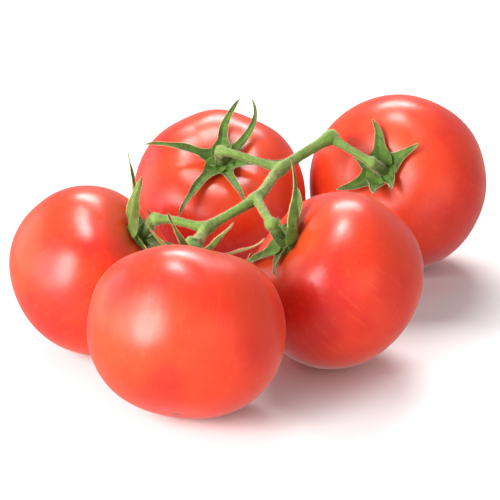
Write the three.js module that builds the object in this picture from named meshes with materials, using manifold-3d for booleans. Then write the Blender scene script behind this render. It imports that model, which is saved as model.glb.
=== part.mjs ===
// A truss of five vine tomatoes, still held together by its main stem.
// Millimetres, +Z up. +X runs along the main stem from its front end to its cut end.
// Every tomato rests on z = 0, and the origin is the middle of the footprint.
import * as THREE from 'three';
import { mergeVertices } from 'three/addons/utils/BufferGeometryUtils.js';
import Module from 'manifold-3d';

const wasm = await Module();
wasm.setup();

// ---- sizes shared by every tomato ----
const PRESS = 0.5;              // how far a tomato is flattened where it rests
const STEM_HALF_POWER = 2.3;    // squareness of the half round the stem
const BLOSSOM_HALF_POWER = 2.1; // squareness of the other half
const DIMPLE_DEPTH = 0.13;      // share of the radius
const DIMPLE_WIDTH = 0.42;
const BLOSSOM_DIP_DEPTH = 0.03;
const BLOSSOM_DIP_WIDTH = 0.3;
const FRUIT_SIDES = 30;
const FRUIT_RINGS = 17;

// ---- sizes of the green parts ----
const GAP = 0.3;                // clearance between pieces that grow together
const STEM_FRONT_RADIUS = 1.6;  // main stem at its front end
const STEM_CUT_RADIUS = 2.1;    // main stem at its cut end
const NODE_SWELL = 0.5;         // how much a node stands out where a stalk leaves
const NODE_SPREAD = 4.5;        // how far that swelling reaches along the stem
const STALK_RADIUS = 1.4;
const KNUCKLE_RADIUS = 2.3;
const SQUARE_RUN = 3;           // how far a stalk runs square to the main stem
const BEND_ROOM = 0.8;          // share of a bend's radius that a rod's inside may fill
const CUP_RADIUS = 4.2;
const CUP_THICKNESS = 1.3;
const CUP_LIFT = 0.8;           // cup's underside above the floor of the dimple
const SEPAL_WIDTH = 5.4;
const SEPAL_THICKNESS = 1.1;    // through the midrib
const SEPAL_EDGE = 0.35;

// ---- materials ----
function material(color, roughness) {
  return new THREE.MeshStandardMaterial({ color, roughness, metalness: 0 });
}
const RED = 0xdf2f22;
const STEM_GREEN = 0x9fb56a;
const STALK_GREEN = 0x7fa04c;
const SEPAL_GREEN = 0x5f8a3a;

// ---- the five tomatoes ----
// width is the greatest diameter and squash the height over it. The stem end points
// along facing (degrees round from +X) and rises by tilt. A tomato stands beside an
// earlier one, in the direction toward, with gap between the two skins.
const FRUITS = [
  {
    name: 'front', width: 71.5, squash: 0.86, facing: 22, tilt: 52,
    lobes: 5, lobeHeight: 0.022, lobeTurn: 10,
  },
  {
    name: 'left', width: 65.5, squash: 0.88, facing: -73, tilt: 42,
    beside: 'front', toward: 65, gap: 0.8,
    lobes: 6, lobeHeight: 0.014, lobeTurn: 40,
  },
  {
    name: 'right', width: 67.5, squash: 0.88, facing: 139, tilt: 42,
    beside: 'front', toward: -17, gap: 3,
    lobes: 5, lobeHeight: 0.014, lobeTurn: 0,
  },
  {
    name: 'back', width: 71, squash: 0.86, facing: -144, tilt: 52,
    beside: 'left', toward: 0, gap: 20,
    lobes: 6, lobeHeight: 0.018, lobeTurn: 30,
  },
  {
    name: 'far', width: 73, squash: 0.86, facing: -168, tilt: 31,
    beside: 'back', toward: -51, gap: 3.4,
    lobes: 5, lobeHeight: 0.016, lobeTurn: 20,
  },
];

// ---- stalks, from each cup to the main stem ----
// node is where the stalk meets the stem, counted from the calyx. The knuckle stands
// above the cup by neck, leaning by lean on its way.
const STALKS = {
  front: { node: [17, 10.5, -3], neck: 7.5, lean: [-1.5, 2, -3] },
  left: { node: [8.5, -24.5, 4.5], neck: 9, lean: [0, 1, 0] },
  right: { node: [14, 21.5, 8], neck: 11, lean: [1.5, -2.5, 0.5] },
  back: { node: [-3, -30, 3.5], neck: 9, lean: [-0.5, 0, -1] },
  far: { node: [-8.5, 19, 12.5], neck: 8, lean: [-0.5, 2, 1] },
};
const STEM_ORDER = ['front', 'left', 'right', 'back', 'far'];
const FRONT_END = 5;            // stem left beyond the first node
const CUT_END = 3.5;            // stem left beyond the last node

// ---- sepals ----
// [direction, sway, rise at the root, rise at the tip, length]. Direction is degrees
// round the stalk from level, sway is how far round it swings on the way to its tip.
const SEPALS = {
  front: [
    [22, 22, 15, 38, 20],
    [76, 2, 10, 28, 25],
    [130, -2, 14, 30, 23],
    [189, -28, 23, 9, 24],
    [285, 10, 12, -14, 18],
  ],
  left: [
    [45, 10, 10, 32, 28],
    [115, -3, 50, 60, 25],
    [225, 4, 20, 6, 17],
    [298, 10, 15, 22, 18],
    [350, 25, 16, -6, 12],
  ],
  right: [
    [62, 33, 46, 40, 28],
    [110, 20, 10, 20, 19],
    [168, -5, 20, 14, 10],
    [243, -34, 16, -40, 26],
    [308, 15, 19, -10, 13],
  ],
  back: [
    [165, 9, 34, 0, 28],
    [85, -14, 12, 9, 25],
    [38, 26, 26, 0, 26],
    [341, 10, 36, 2, 26],
    [288, 0, 35, 10, 25],
    [229, 9, 12, 3, 29],
  ],
  far: [
    [100, 9, 17, -3, 17],
    [39, 1, 17, 14, 15],
    [321, -13, 45, 58, 15],
    [272, 11, 42, 80, 16],
    [224, -8, 29, 7, 16],
    [168, -3, 19, 5, 8],
  ],
};

const UP = new THREE.Vector3(0, 0, 1);
const radians = THREE.MathUtils.degToRad;

// ---- closed meshes from rings of points ----
// Rings run along the piece, each turning left about the way forward; both ends are
// closed by a fan to a middle point.
function skin(rings, startTip, endTip) {
  const points = [...rings.flat(), startTip, endTip];
  const sides = rings[0].length;
  const start = rings.length * sides;
  const faces = [];
  for (let j = 0; j < sides; j++) {
    const k = (j + 1) % sides;
    faces.push(start, k, j);
    for (let i = 0; i < rings.length - 1; i++) {
      const near = i * sides;
      const far = near + sides;
      faces.push(near + j, near + k, far + k);
      faces.push(near + j, far + k, far + j);
    }
    const last = (rings.length - 1) * sides;
    faces.push(start + 1, last + j, last + k);
  }
  const geometry = new THREE.BufferGeometry().setFromPoints(points);
  geometry.setIndex(faces);
  geometry.computeVertexNormals();
  return geometry;
}

function mesh(name, geometry, color, roughness) {
  const piece = new THREE.Mesh(geometry, material(color, roughness));
  piece.name = name;
  return piece;
}

// ---- cuts ----
function solid(geometry) {
  const bare = new THREE.BufferGeometry();
  bare.setAttribute('position', geometry.getAttribute('position'));
  bare.setIndex(geometry.index);
  const merged = mergeVertices(bare, 1e-4);
  return new wasm.Manifold(new wasm.Mesh({
    numProp: 3,
    vertProperties: new Float32Array(merged.attributes.position.array),
    triVerts: new Uint32Array(merged.index.array),
  }));
}

function geometryOf(manifold) {
  const result = manifold.getMesh();
  const geometry = new THREE.BufferGeometry();
  const position = new THREE.BufferAttribute(result.vertProperties, 3);
  geometry.setAttribute('position', position);
  geometry.setIndex(new THREE.BufferAttribute(result.triVerts, 1));
  geometry.computeVertexNormals();
  return geometry;
}

function cutLevel(geometry, size) {
  const below = new THREE.BoxGeometry(size, size, size).translate(0, 0, -size / 2);
  return geometryOf(solid(geometry).subtract(solid(below)));
}

// ---- tomato ----
// Height of the skin at distance r from the stem axis, on the stem's half.
function crownHeight(fruit, r) {
  const radius = fruit.width / 2;
  const across = Math.pow(r / radius, STEM_HALF_POWER);
  const dome = fruit.squash * radius * Math.pow(1 - across, 1 / STEM_HALF_POWER);
  const dip = Math.exp(-Math.pow(r / (DIMPLE_WIDTH * radius), 2));
  return dome - DIMPLE_DEPTH * radius * dip;
}

function profilePoint(fruit, turn) {
  const radius = fruit.width / 2;
  const cosine = Math.cos(turn);
  const half = cosine >= 0 ? STEM_HALF_POWER : BLOSSOM_HALF_POWER;
  const r = radius * Math.pow(Math.sin(turn), 2 / half);
  if (cosine >= 0) {
    return { r, z: crownHeight(fruit, r) };
  }
  const dome = fruit.squash * radius * Math.pow(-cosine, 2 / half);
  const dip = Math.exp(-Math.pow(r / (BLOSSOM_DIP_WIDTH * radius), 2));
  return { r, z: BLOSSOM_DIP_DEPTH * radius * dip - dome };
}

// The shoulders stand out in lobes that fade before the waist.
function lobeFactor(fruit, turn, round) {
  const strength = Math.pow(Math.sin(turn), 2) * Math.max(0, Math.cos(turn) + 0.25);
  const wave = Math.cos(fruit.lobes * (round - radians(fruit.lobeTurn)));
  return 1 + 2 * fruit.lobeHeight * strength * wave;
}

function fruitGeometry(fruit) {
  const rings = [];
  for (let i = 1; i < FRUIT_RINGS; i++) {
    const turn = Math.PI * (1 - i / FRUIT_RINGS);
    const { r, z } = profilePoint(fruit, turn);
    const ring = [];
    for (let j = 0; j < FRUIT_SIDES; j++) {
      const round = 2 * Math.PI * j / FRUIT_SIDES;
      const lobe = lobeFactor(fruit, turn, round);
      ring.push(new THREE.Vector3(
        lobe * r * Math.cos(round), lobe * r * Math.sin(round), lobe * z,
      ));
    }
    rings.push(ring);
  }
  const blossom = new THREE.Vector3(0, 0, profilePoint(fruit, Math.PI).z);
  const stemEnd = new THREE.Vector3(0, 0, crownHeight(fruit, 0));
  return skin(rings, blossom, stemEnd);
}

// Local axes of a tomato: x level, y up the shoulder, z out through the stem end.
function stance(fruit) {
  const facing = radians(fruit.facing);
  const tilt = radians(fruit.tilt);
  const out = new THREE.Vector3(
    Math.cos(tilt) * Math.cos(facing), Math.cos(tilt) * Math.sin(facing), Math.sin(tilt),
  );
  const level = new THREE.Vector3(-Math.sin(facing), Math.cos(facing), 0);
  const rise = new THREE.Vector3().crossVectors(out, level);
  return new THREE.Matrix4().makeBasis(level, rise, out);
}

// How far a set of points reaches in a direction.
function reach(points, direction) {
  return points.reduce((far, p) => Math.max(far, p.dot(direction)), -Infinity);
}

function cornersOf(geometry) {
  const position = geometry.getAttribute('position');
  const corners = [];
  for (let i = 0; i < position.count; i++) {
    corners.push(new THREE.Vector3().fromBufferAttribute(position, i));
  }
  return corners;
}

// Stands every tomato on the floor, each beside the one it names.
function placeFruits() {
  const placed = {};
  for (const fruit of FRUITS) {
    const geometry = fruitGeometry(fruit).applyMatrix4(stance(fruit));
    const corners = cornersOf(geometry);
    const centre = new THREE.Vector3(0, 0, reach(corners, UP.clone().negate()) - PRESS);
    if (fruit.beside) {
      const other = placed[fruit.beside];
      const angle = radians(fruit.toward);
      const way = new THREE.Vector3(Math.cos(angle), Math.sin(angle), 0);
      const room = reach(other.corners, way) + reach(corners, way.clone().negate());
      centre.x = other.centre.x + way.x * (room + fruit.gap);
      centre.y = other.centre.y + way.y * (room + fruit.gap);
    }
    placed[fruit.name] = { fruit, geometry, corners, centre };
  }
  return placed;
}

function fruitMesh({ fruit, geometry, centre }) {
  const raised = geometry.clone().translate(0, 0, centre.z);
  const piece = mesh(`tomato_${fruit.name}`, cutLevel(raised, 2 * fruit.width), RED, 0.3);
  piece.position.set(centre.x, centre.y, 0);
  return piece;
}

// ---- calyx ----
function cupGeometry() {
  const profile = [
    [0, 0], [CUP_RADIUS * 0.8, 0], [CUP_RADIUS, CUP_THICKNESS * 0.4],
    [CUP_RADIUS * 0.85, CUP_THICKNESS * 0.85], [CUP_RADIUS * 0.5, CUP_THICKNESS],
    [0, CUP_THICKNESS],
  ].map(([r, z]) => new THREE.Vector2(r, z));
  return new THREE.LatheGeometry(profile, 18).rotateX(Math.PI / 2);
}

// Middle line of a sepal: it bends evenly from its rise at the root to that at the tip.
function sepalLine([, sway, rootRise, tipRise, length], steps) {
  const line = [];
  let r = CUP_RADIUS + GAP;
  let z = 0;
  for (let i = 0; i <= steps; i++) {
    const share = i / steps;
    const rise = radians(rootRise + (tipRise - rootRise) * share);
    const swing = radians(sway * share * share);
    line.push({ share, rise, point: new THREE.Vector3(
      r * Math.cos(swing), r * Math.sin(swing), z,
    ) });
    r += length / steps * Math.cos(rise);
    z += length / steps * Math.sin(rise);
  }
  return line;
}

// A sepal is widest a fifth of the way out and tapers to a fine tip.
function sepalWidth(share) {
  const swell = share < 0.2 ? 0.62 + 1.9 * share : 1;
  const taper = Math.pow(1 - Math.max(0, share - 0.2) / 0.8, 0.85);
  return SEPAL_WIDTH * swell * Math.max(taper, 0.06);
}

function sepalGeometry(shape) {
  const steps = 9;
  const line = sepalLine(shape, steps);
  const rings = line.slice(0, steps).map(({ share, rise, point }, i) => {
    const ahead = line[i + 1].point.clone().sub(point);
    const side = new THREE.Vector3(-ahead.y, ahead.x, 0).normalize();
    const top = new THREE.Vector3().crossVectors(ahead, side).normalize();
    const half = sepalWidth(share) / 2;
    const thick = SEPAL_THICKNESS * Math.min(1, 2 * half / SEPAL_WIDTH + 0.25);
    const edge = Math.min(SEPAL_EDGE, thick / 2);
    const outline = [
      [-half, 0.2 * half], [0, -thick + edge], [half, 0.2 * half],
      [half * 0.9, 0.2 * half + edge], [0, edge], [-half * 0.9, 0.2 * half + edge],
    ];
    return outline.map(([across, up]) => point.clone()
      .addScaledVector(side, across).addScaledVector(top, up));
  });
  const root = line[0].point.clone();
  return skin(rings, root, line[steps].point);
}

function calyx(fruit) {
  const group = new THREE.Group();
  const floor = crownHeight(fruit, 0) + CUP_LIFT;
  const cup = mesh(`calyx_${fruit.name}`, cupGeometry(), STALK_GREEN, 0.7);
  cup.position.z = floor;
  group.add(cup);
  SEPALS[fruit.name].forEach((shape, i) => {
    const name = `sepal_${fruit.name}_${i + 1}`;
    const sepal = mesh(name, sepalGeometry(shape), SEPAL_GREEN, 0.7);
    sepal.position.z = floor + CUP_THICKNESS * 0.6;
    sepal.rotation.z = radians(shape[0]);
    group.add(sepal);
  });
  return group;
}

// ---- stems ----
// A round rod along a curve, its radius given along the way.
// How sharply a curve bends at a place: it points to the inside, one over the radius.
function bendAt(curve, share) {
  const from = Math.max(0, share - 0.01);
  const to = Math.min(1, share + 0.01);
  return curve.getTangentAt(to).sub(curve.getTangentAt(from))
    .divideScalar((to - from) * curve.getLength());
}

// A rod along a curve. On the inside of a bend its skin stops short of the bend's
// middle, so that a sharp bend creases and never folds over itself.
function rod(curve, steps, sides, radiusAt) {
  const frames = curve.computeFrenetFrames(steps, false);
  const rings = [];
  for (let i = 0; i <= steps; i++) {
    const share = i / steps;
    const middle = curve.getPointAt(share);
    const bend = bendAt(curve, share);
    const ring = [];
    for (let j = 0; j < sides; j++) {
      const angle = 2 * Math.PI * j / sides;
      const outward = frames.normals[i].clone().multiplyScalar(Math.cos(angle))
        .addScaledVector(frames.binormals[i], Math.sin(angle));
      const room = BEND_ROOM / Math.max(outward.dot(bend), 1e-6);
      ring.push(middle.clone().addScaledVector(outward, Math.min(radiusAt(share), room)));
    }
    rings.push(ring);
  }
  return skin(rings, curve.getPointAt(0), curve.getPointAt(1));
}

function swelling(distance, spread) {
  return Math.exp(-Math.pow(distance / spread, 2));
}

// The top of a cup, and the point on the main stem its stalk grows from.
function anchors({ fruit, centre }) {
  const out = new THREE.Vector3().setFromMatrixColumn(stance(fruit), 2);
  const height = crownHeight(fruit, 0) + CUP_LIFT + CUP_THICKNESS + GAP;
  const top = centre.clone().addScaledVector(out, height);
  const node = top.clone().add(new THREE.Vector3(...STALKS[fruit.name].node));
  return { out, top, node };
}

function stemCurve(placed) {
  const nodes = STEM_ORDER.map((name) => anchors(placed[name]).node);
  const first = nodes[0].clone().sub(nodes[1]).setLength(FRONT_END).add(nodes[0]);
  const last = nodes.at(-1).clone().sub(nodes.at(-2)).setLength(CUT_END).add(nodes.at(-1));
  return new THREE.CatmullRomCurve3([first, ...nodes, last], false, 'centripetal');
}

function stemRadius(share) {
  return STEM_FRONT_RADIUS + (STEM_CUT_RADIUS - STEM_FRONT_RADIUS) * share;
}

function mainStem(placed) {
  const curve = stemCurve(placed);
  const nodes = STEM_ORDER.map((name) => anchors(placed[name]).node);
  const radiusAt = (share) => {
    const here = curve.getPointAt(share);
    const nearest = Math.min(...nodes.map((node) => node.distanceTo(here)));
    return stemRadius(share) + NODE_SWELL * swelling(nearest, NODE_SPREAD);
  };
  return mesh('truss_stem', rod(curve, 40, 10, radiusAt), STEM_GREEN, 0.7);
}

// The stalk leaves the stem square to it, crosses to above its calyx, swells at the
// knuckle and turns down to the cup.
function stalk(entry, stem) {
  const { out, top, node } = anchors(entry);
  const { neck, lean } = STALKS[entry.fruit.name];
  const knuckle = top.clone().addScaledVector(out, neck).add(new THREE.Vector3(...lean));
  const { along, share } = nearestOnStem(stem, node);
  const leave = knuckle.clone().sub(node);
  leave.addScaledVector(along, -leave.dot(along)).normalize();
  const clear = stemRadius(share) + NODE_SWELL + GAP;
  const start = node.clone().addScaledVector(leave, clear);
  const early = node.clone().addScaledVector(leave, clear + SQUARE_RUN);
  const low = top.clone().addScaledVector(out, 2);
  const curve = new THREE.CatmullRomCurve3(
    [top, low, knuckle, early, start], false, 'centripetal',
  );
  const bulge = KNUCKLE_RADIUS - STALK_RADIUS;
  const radiusAt = (share) => {
    const here = curve.getPointAt(share);
    return STALK_RADIUS + bulge * swelling(here.distanceTo(knuckle), 2.6)
      + 0.5 * swelling(here.distanceTo(top), 2);
  };
  return mesh(`stalk_${entry.fruit.name}`, rod(curve, 20, 8, radiusAt), STALK_GREEN, 0.7);
}

// Which way the main stem runs at a place on it, and how far along that is.
function nearestOnStem(curve, place) {
  const steps = 400;
  let best = 0;
  for (let i = 1; i <= steps; i++) {
    const here = curve.getPointAt(i / steps);
    if (here.distanceTo(place) < curve.getPointAt(best).distanceTo(place)) {
      best = i / steps;
    }
  }
  return { along: curve.getTangentAt(best), share: best };
}

// ---- assembly ----
function buildTruss() {
  const truss = new THREE.Group();
  const placed = placeFruits();
  const stem = stemCurve(placed);
  for (const entry of Object.values(placed)) {
    truss.add(fruitMesh(entry));
    const crown = calyx(entry.fruit);
    crown.applyMatrix4(stance(entry.fruit));
    crown.position.copy(entry.centre);
    truss.add(crown);
    truss.add(stalk(entry, stem));
  }
  truss.add(mainStem(placed));
  return truss;
}

// Moves the footprint's middle to the origin.
function centred(group) {
  group.updateMatrixWorld(true);
  const box = new THREE.Box3().setFromObject(group, true);
  const middle = box.getCenter(new THREE.Vector3());
  group.position.set(-middle.x, -middle.y, -box.min.z);
  const root = new THREE.Group();
  root.add(group);
  return root;
}

export default centred(buildTruss());
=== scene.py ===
import functools
import math

import bpy
import numpy as np
from bpy.props import FloatProperty, FloatVectorProperty, IntProperty, PointerProperty
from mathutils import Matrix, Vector


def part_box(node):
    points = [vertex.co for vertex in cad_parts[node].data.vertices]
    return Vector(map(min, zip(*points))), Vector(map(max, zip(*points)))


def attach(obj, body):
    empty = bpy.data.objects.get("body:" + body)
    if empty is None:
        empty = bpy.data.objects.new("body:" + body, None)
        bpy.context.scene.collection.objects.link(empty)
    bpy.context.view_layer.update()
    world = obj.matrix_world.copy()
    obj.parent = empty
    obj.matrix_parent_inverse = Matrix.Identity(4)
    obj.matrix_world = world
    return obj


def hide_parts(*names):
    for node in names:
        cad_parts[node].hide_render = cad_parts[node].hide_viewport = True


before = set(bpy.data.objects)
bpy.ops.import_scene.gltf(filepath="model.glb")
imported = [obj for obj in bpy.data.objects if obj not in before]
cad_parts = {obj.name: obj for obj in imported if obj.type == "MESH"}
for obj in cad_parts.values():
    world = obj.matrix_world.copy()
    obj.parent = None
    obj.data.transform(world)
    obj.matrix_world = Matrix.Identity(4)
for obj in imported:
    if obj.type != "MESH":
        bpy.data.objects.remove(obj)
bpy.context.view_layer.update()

# Five ripe tomatoes still joined to one truss stem, lying on a pale table.
# Metres, +Z up, +X along the truss stem towards its cut end.

bl_info = {
    "name": "Truss of Tomatoes",
    "version": (1, 0, 0),
    "blender": (4, 5, 0),
    "location": "3D View > Sidebar > Truss",
    "description": "Builds a bunch of vine tomatoes and the studio it lies in",
    "category": "Object",
}

MM = 0.001

# ---- the five tomatoes ----
# width is the greatest diameter and squash the height over it. The stem end points
# along facing, in degrees round from +X, and rises by tilt.
FRUITS = {
    "front": dict(width=71.5 * MM, squash=0.86, facing=22, tilt=52,
                  lobes=5, lobe_height=0.022, lobe_turn=10, seed=11),
    "left": dict(width=65.5 * MM, squash=0.88, facing=-73, tilt=42,
                 lobes=6, lobe_height=0.014, lobe_turn=40, seed=23),
    "right": dict(width=67.5 * MM, squash=0.88, facing=139, tilt=42,
                  lobes=5, lobe_height=0.014, lobe_turn=0, seed=37),
    "back": dict(width=71.0 * MM, squash=0.86, facing=-144, tilt=52,
                 lobes=6, lobe_height=0.018, lobe_turn=30, seed=41),
    "far": dict(width=73.0 * MM, squash=0.86, facing=-168, tilt=31,
                lobes=5, lobe_height=0.016, lobe_turn=20, seed=59),
}
PRESS = 0.5 * MM              # how far a tomato is flattened where it rests
STEM_HALF_POWER = 2.3         # squareness of the half round the stem
BLOSSOM_HALF_POWER = 2.1
DIMPLE_DEPTH = 0.13           # this and the next three are shares of the radius
DIMPLE_WIDTH = 0.42
BLOSSOM_DIP_DEPTH = 0.03
BLOSSOM_DIP_WIDTH = 0.3
LOBE_GAIN = 1.2               # how strongly a fruit's lobe_height shows
LOBE_UNEVEN = (0.35, 0.25)    # how far lobes differ, in swings once and twice round
LOBE_END = 0.05               # cosine of the turn where the lobes have faded out
LOBE_RUN = 0.6                # and how far above it they are full
CREASED_CROWN = 0.6           # sine of the turn within which sharp creases part the lobes
CREASE_GAIN = 1.1
BROAD_SWELL = 34 * MM         # length of the broad swellings of the flesh
FINE_SWELL = 9 * MM           # length of the fine ones
FINE_SHARE = 0.03             # height of the fine ones over the broad
REST_FADE = 8 * MM            # swellings fade below this height
CROWN_FADE = 0.35             # and within this angle of the stem end
PLACING_DETAIL = 40           # faces along a patch when a tomato is placed in its box

# ---- calyx cups ----
GAP = 0.3 * MM
CUP_THICKNESS = 1.3 * MM
CUP_LIFT = 0.8 * MM
CUP_RADIUS = 4.2 * MM
CUP_SIDES, CUP_RINGS = 72, 10
CUP_WAIST, CUP_POINTS = 0.95, 0.4      # reach between the star's points, and how far on they go
CUP_POINT_START = 0.75        # cosine of the angle from a sepal where its point begins
CUP_CROWN = 0.5 * MM          # height of the boss in the middle
CUP_SKIRT = 1.0 * MM          # drop of the rim turned in under the cup

# ---- truss stem and stalks ----
# node is where a stalk meets the truss stem and lean how far its knuckle is moved, both
# in mm, the first from its cup. neck is the height of the knuckle above the cup in mm.
STEM_ORDER = ("front", "left", "right", "back", "far")
STALKS = {
    "front": dict(node=(17, 10.5, -3), neck=7.5, lean=(-1.5, 2, -3)),
    "left": dict(node=(8.5, -24.5, 4.5), neck=9, lean=(0, 1, 0)),
    "right": dict(node=(14, 21.5, 8), neck=11, lean=(1.5, -2.5, 0.5)),
    "back": dict(node=(-3, -30, 3.5), neck=9, lean=(-0.5, 0, -1)),
    "far": dict(node=(-8.5, 19, 12.5), neck=8, lean=(-0.5, 2, 1)),
}
FRONT_END = 5 * MM            # how far the truss stem runs on past its first node
CUT_END = 3.5 * MM            # and past its last one
STALK_SUNK = 1.2 * MM         # how deep a stalk's foot stands in its cup
STALK_RISE = 2 * MM           # how far up it runs straight out
STALK_JOIN = 2.5 * MM         # how far from its node it points at its knuckle
BEND_ROOM = 0.8               # share of a bend's radius that a rod's inside may fill
STEM_SIDES, STALK_SIDES = 32, 28
RIBS, RIB_HEIGHT = 5, 0.05    # long ribs round a rod, and their height over its radius
ROD_SWELLS = ((5 * MM, 0.06 * MM), (1.3 * MM, 0.03 * MM))     # length and height

# Swellings: [height, spread to either side]
NODE = (0.75 * MM, 4.2 * MM)            # on the truss stem, where a stalk leaves it
STALK_NODE = (0.9 * MM, 4.5 * MM)       # on a stalk, where it leaves the stem
STALK_FOOT = (0.4 * MM, 2.2 * MM)       # where it meets its cup
KNUCKLE = (0.7 * MM, 2.2 * MM)
KNUCKLE_CREST = (0.35 * MM, 1.2 * MM)
KNUCKLE_GROOVE = (0.45 * MM, 0.5 * MM)  # the ring where a ripe stalk snaps off
GROOVE_PLACE = 1.5 * MM
FRONT_TAPER = (0.5, 2.5 * MM)           # height as a share of the radius
BLUNT_END = 1.6 * MM
BLUNT_LEAST = 0.25
FRONT_DRY = 5 * MM                      # how far the front end is dry
CUT_PALE = 2.2 * MM                     # how far the cut end is pale
KNUCKLE_PALE = (0.35, 2 * MM)
UNDER_SHADE, FOOT_SHADE = 0.5, 0.8      # painted shade on each rod's underside, and the darker green below a knuckle

# ---- fine hairs on every green part ----
HAIRS_PER_MM2 = 3.0
HAIR_LENGTH = 0.55 * MM
HAIR_THICKNESS = 0.045 * MM
HAIR_ROOT = 0.08 * MM         # how deep a hair stands in the skin
HAIR_LEAN = 0.3
HAIR_SPAN = (0.45, 1.25)      # shortest and longest, over HAIR_LENGTH
EDGE_HAIRS_PER_MM = 4.0
SEPAL_HAIRS = 0.8             # length of a sepal's hairs over a rod's

# ---- sepals ----
# [direction, sway, rise at the root, rise at the tip, length in mm, breadth, fold, dryness]
# Breadth is a share of the usual width, fold is how far the two halves lift, and
# dryness is how far the leaf has turned cream.
SEPALS = {
    "front": [(22, 22, 15, 38, 20, 0.40, 0.4, 0.45), (76, 2, 10, 28, 25, 0.85, 0.5, 0.1),
              (130, -2, 14, 30, 23, 0.8, 0.5, 0.05), (189, -28, 23, 9, 24, 0.32, 0.4, 0.6),
              (285, 10, 12, -14, 18, 1.0, 0.5, 0)],
    "left": [(45, 10, 10, 32, 28, 0.75, 0.6, 0), (115, -3, 50, 60, 25, 1.6, 0.15, 0.1),
             (225, 4, 20, 6, 17, 1.1, 0.5, 0), (298, 10, 15, 22, 18, 1.15, 0.4, 0.1),
             (350, 25, 16, -6, 12, 0.8, 0.5, 0)],
    "right": [(62, 33, 46, 40, 28, 1.6, 0.4, 0), (110, 20, 10, 20, 19, 1.5, 0.4, 0),
              (168, -5, 20, 14, 10, 0.8, 0.5, 0), (243, -34, 16, -40, 26, 1.3, 0.4, 0),
              (308, 15, 19, -10, 13, 0.65, 0.5, 0.1)],
    "back": [(165, 9, 34, 0, 28, 1.1, 0.5, 0), (85, -14, 12, 9, 25, 1.15, 0.6, 0),
             (38, 26, 26, 0, 26, 1.0, 0.5, 0), (341, 10, 36, 2, 26, 1.0, 0.4, 0),
             (288, 0, 35, 10, 25, 1.05, 0.4, 0), (229, 9, 12, 3, 29, 1.1, 0.5, 0)],
    "far": [(100, 9, 17, -3, 17, 1.3, 0.5, 0), (39, 1, 17, 14, 15, 1.3, 0.3, 0),
            (321, -13, 45, 58, 11, 1.0, 0.3, 0), (272, 11, 42, 80, 15, 1.5, 0.3, 0),
            (224, -8, 29, 7, 16, 1.4, 0.4, 0), (168, -3, 19, 5, 8, 0.9, 0.4, 0)],
}
# Sepals that turn their face as they rise, by this many degrees.
TURNED = {"left_2": 65, "right_1": -60}
TWIST = 14                    # degrees that a sepal may turn either way by its tip
WAVES = (0.25, 0.5)           # least and greatest height of its waves in mm
SEPAL_STEPS = 44
SEPAL_START = 1.6 * MM        # where a sepal begins inside its cup, from the axis
SEPAL_LIFT = 0.6 * CUP_THICKNESS
SEPAL_ACROSS = np.array([-1, -0.9, -0.65, -0.35, -0.14, 0, 0.14, 0.35, 0.65, 0.9, 1.0])
SEPAL_THICK = 0.95 * MM       # how much thicker than its edge a sepal is at its root
SEPAL_EDGE = 0.16 * MM
SEPAL_TIP = 0.4 * MM
RIB_UP, RIB_DOWN = 0.14 * MM, 0.35 * MM
VEIN_UP = 0.05 * MM
WEB, WEB_LENGTH = 0.85, 3.6   # extra breadth at the root, and how many mm it fades in
BELLY, BELLY_PLACE, BELLY_SPAN = 0.10, 0.42, 0.2
PLAIN_WIDTH, TIP_WIDTH = 0.60, 0.03

# ---- finishes ----
STREAKS_ROUND, STREAKS_DOWN = 9.0, 2.0      # how fine the skin's streaks are, each way
SKIN_MOTTLE = 0.04            # how far the skin's roughness swings to either side
SKIN_DEPTH = 3.5 * MM         # how far light runs under the skin, and in the greens
ROD_DEPTH = 1.5 * MM
SEPAL_DEPTH = 1.0 * MM
SKIN_SCATTER, GREEN_SCATTER = (1.0, 0.2, 0.1), (0.6, 1.0, 0.2)
SKIN_BLOOM, GREEN_BLOOM = (1.0, 0.72, 0.62, 1), (1.0, 0.80, 0.55, 1)
SCAR_BROWN = (0.16, 0.09, 0.04)
ROD_PATCHES, SEPAL_PATCHES = 0.62, 0.55     # darkness of the green's patches
STALK_SHADE = 0.88            # how dark a stalk is beside the truss stem

# ---- studio ----
CAMERA_PLACE = (-0.6963, -0.4410, 0.3750)
CAMERA_BEARING = 32.54        # degrees round from +X
CAMERA_DROP = 22.67           # degrees below level
TABLE_SIDE, TABLE_LEVEL = 8.0, -0.0002
AIM = (0, 0, 0.035)
# [way from the bunch, distance, width, height, the setting that holds its power]
SOFT_BOXES = {
    "key_core": ((-0.91, 0.19, 0.35), 0.75, 0.30, 0.56, "key_power"),
    "key_halo": ((-0.86, 0.30, 0.27), 0.78, 0.9, 0.7, "halo_power"),
    "left_panel": ((-0.30, 0.94, 0.20), 1.0, 1.4, 0.7, "panel_power"),
    "right_panel": ((-0.45, -0.86, 0.24), 1.0, 1.2, 0.6, "fill_power"),
    "back_box": ((0.57, 0.33, 0.75), 0.7, 0.44, 0.19, "back_power"),
    "top_box": ((-0.01, 0.11, 0.98), 0.7, 0.20, 0.20, "top_power"),
}
GLEAM_ONLY = ("top_box",)     # seen in the gloss alone, so the hollow keeps its depth


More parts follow.
